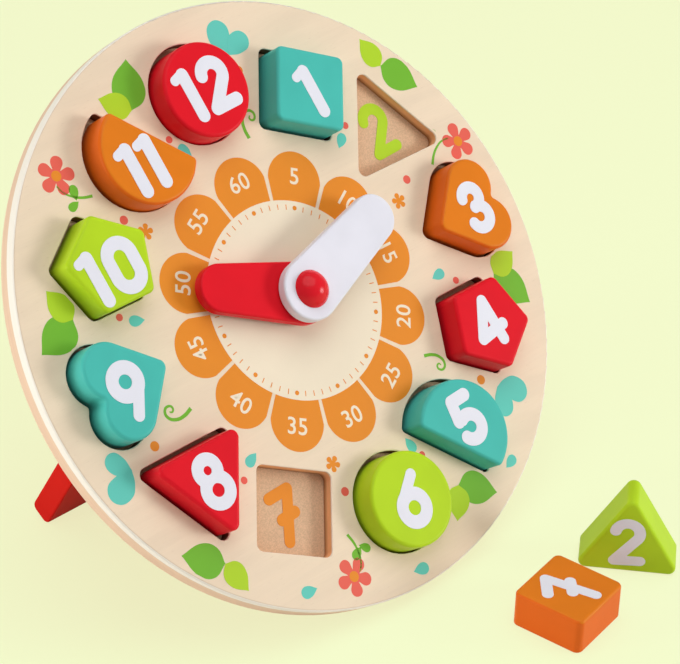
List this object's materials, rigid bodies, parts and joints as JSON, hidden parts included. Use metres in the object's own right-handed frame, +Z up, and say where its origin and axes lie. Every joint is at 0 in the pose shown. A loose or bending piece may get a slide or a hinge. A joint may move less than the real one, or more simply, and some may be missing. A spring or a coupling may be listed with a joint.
{
  "type": "teaching clock",
  "caption": "Round wooden teaching clock leaning on a hinged leg, with two turning hands and shaped number blocks that lift out of recesses.",
  "frame": {"origin": "on the table, under the middle of the bounding box of the clock and its two loose blocks", "axes": "+Z up from the table, +X to the right of the dial, +Y away from the reader, so the dial faces -Y and leans back"},
  "size_m": [0.298, 0.2818, 0.2319],
  "materials": {
    "birch_face": "clear satin lacquer",
    "board_backing": "bare, sealed",
    "red_paint": "satin paint",
    "teal_paint": "satin paint",
    "orange_paint": "satin paint",
    "lime_paint": "satin paint",
    "white_paint": "satin paint",
    "white_print": "screen-print ink",
    "red_print": "screen-print ink",
    "teal_print": "screen-print ink",
    "orange_print": "screen-print ink",
    "lime_print": "screen-print ink",
    "steel": "zinc plated",
    "dowel_wood": "bare",
    "nylon": "moulded"
  },
  "bodies": {
    "clock_board": {"front_board": "birch_face", "back_board": "board_backing", "hub_peg": "red_paint", "hub_screw": "steel", "hub_washer": "steel", "spacer_low": "nylon", "spacer_high": "nylon", "hinge_block_left": "dowel_wood", "hinge_block_right": "dowel_wood", "hinge_pins": "steel", "hinge_screws": "steel", "recess_numeral_01": "teal_print", "recess_numeral_02": "lime_print", "recess_numeral_03": "orange_print", "recess_numeral_04": "red_print", "recess_numeral_05": "teal_print", "recess_numeral_06": "lime_print", "recess_numeral_07": "orange_print", "recess_numeral_08": "red_print", "recess_numeral_09": "teal_print", "recess_numeral_10": "lime_print", "recess_numeral_11": "orange_print", "recess_numeral_12": "red_print"},
    "hour_hand": {"hour_hand": "red_paint"},
    "minute_hand": {"minute_hand": "white_paint"},
    "stand_leg": {"stand_leg": "red_paint"},
    "number_block_01": {"block_01_square": "teal_paint", "block_numeral_01": "white_print"},
    "number_block_02": {"block_02_triangle": "lime_paint", "block_numeral_02": "white_print"},
    "number_block_03": {"block_03_heart": "orange_paint", "block_numeral_03": "white_print"},
    "number_block_04": {"block_04_pentagon": "red_paint", "block_numeral_04": "white_print"},
    "number_block_05": {"block_05_half_moon": "teal_paint", "block_numeral_05": "white_print"},
    "number_block_06": {"block_06_round": "lime_paint", "block_numeral_06": "white_print"},
    "number_block_07": {"block_07_square": "orange_paint", "block_numeral_07": "white_print"},
    "number_block_08": {"block_08_triangle": "red_paint", "block_numeral_08": "white_print"},
    "number_block_09": {"block_09_heart": "teal_paint", "block_numeral_09": "white_print"},
    "number_block_10": {"block_10_pentagon": "lime_paint", "block_numeral_10": "white_print"},
    "number_block_11": {"block_11_half_moon": "orange_paint", "block_numeral_11": "white_print"},
    "number_block_12": {"block_12_round": "red_paint", "block_numeral_12": "white_print"}
  },
  "joints": [
    {"name": "hour_hand_turn", "type": "hinge", "parent": "clock_board", "child": "hour_hand", "pos_m": [0, 0.03548, 0.1212], "axis": [0, -0.7547, 0.6561], "continuous": true},
    {"name": "minute_hand_turn", "type": "hinge", "parent": "clock_board", "child": "minute_hand", "pos_m": [0, 0.03548, 0.1212], "axis": [0, -0.7547, 0.6561], "continuous": true},
    {"name": "leg_fold", "type": "hinge", "parent": "clock_board", "child": "stand_leg", "pos_m": [0, 0.05065, 0.10206], "axis": [1, 0, 0], "range_deg": [-70.4, 0]},
    {"name": "lift_block_01", "type": "slide", "parent": "clock_board", "child": "number_block_01", "axis": [0, -0.7547, 0.6561], "range_m": [0, 0.03]},
    {"name": "lift_block_02", "type": "slide", "parent": "clock_board", "child": "number_block_02", "axis": [0, 0, 1], "range_m": [0, 0.06]},
    {"name": "lift_block_03", "type": "slide", "parent": "clock_board", "child": "number_block_03", "axis": [0, -0.7547, 0.6561], "range_m": [0, 0.03]},
    {"name": "lift_block_04", "type": "slide", "parent": "clock_board", "child": "number_block_04", "axis": [0, -0.7547, 0.6561], "range_m": [0, 0.03]},
    {"name": "lift_block_05", "type": "slide", "parent": "clock_board", "child": "number_block_05", "axis": [0, -0.7547, 0.6561], "range_m": [0, 0.03]},
    {"name": "lift_block_06", "type": "slide", "parent": "clock_board", "child": "number_block_06", "axis": [0, -0.7547, 0.6561], "range_m": [0, 0.03]},
    {"name": "lift_block_07", "type": "slide", "parent": "clock_board", "child": "number_block_07", "axis": [0, 0, 1], "range_m": [0, 0.06]},
    {"name": "lift_block_08", "type": "slide", "parent": "clock_board", "child": "number_block_08", "axis": [0, -0.7547, 0.6561], "range_m": [0, 0.03]},
    {"name": "lift_block_09", "type": "slide", "parent": "clock_board", "child": "number_block_09", "axis": [0, -0.7547, 0.6561], "range_m": [0, 0.03]},
    {"name": "lift_block_10", "type": "slide", "parent": "clock_board", "child": "number_block_10", "axis": [0, -0.7547, 0.6561], "range_m": [0, 0.03]},
    {"name": "lift_block_11", "type": "slide", "parent": "clock_board", "child": "number_block_11", "axis": [0, -0.7547, 0.6561], "range_m": [0, 0.03]},
    {"name": "lift_block_12", "type": "slide", "parent": "clock_board", "child": "number_block_12", "axis": [0, -0.7547, 0.6561], "range_m": [0, 0.03]}
  ]
}
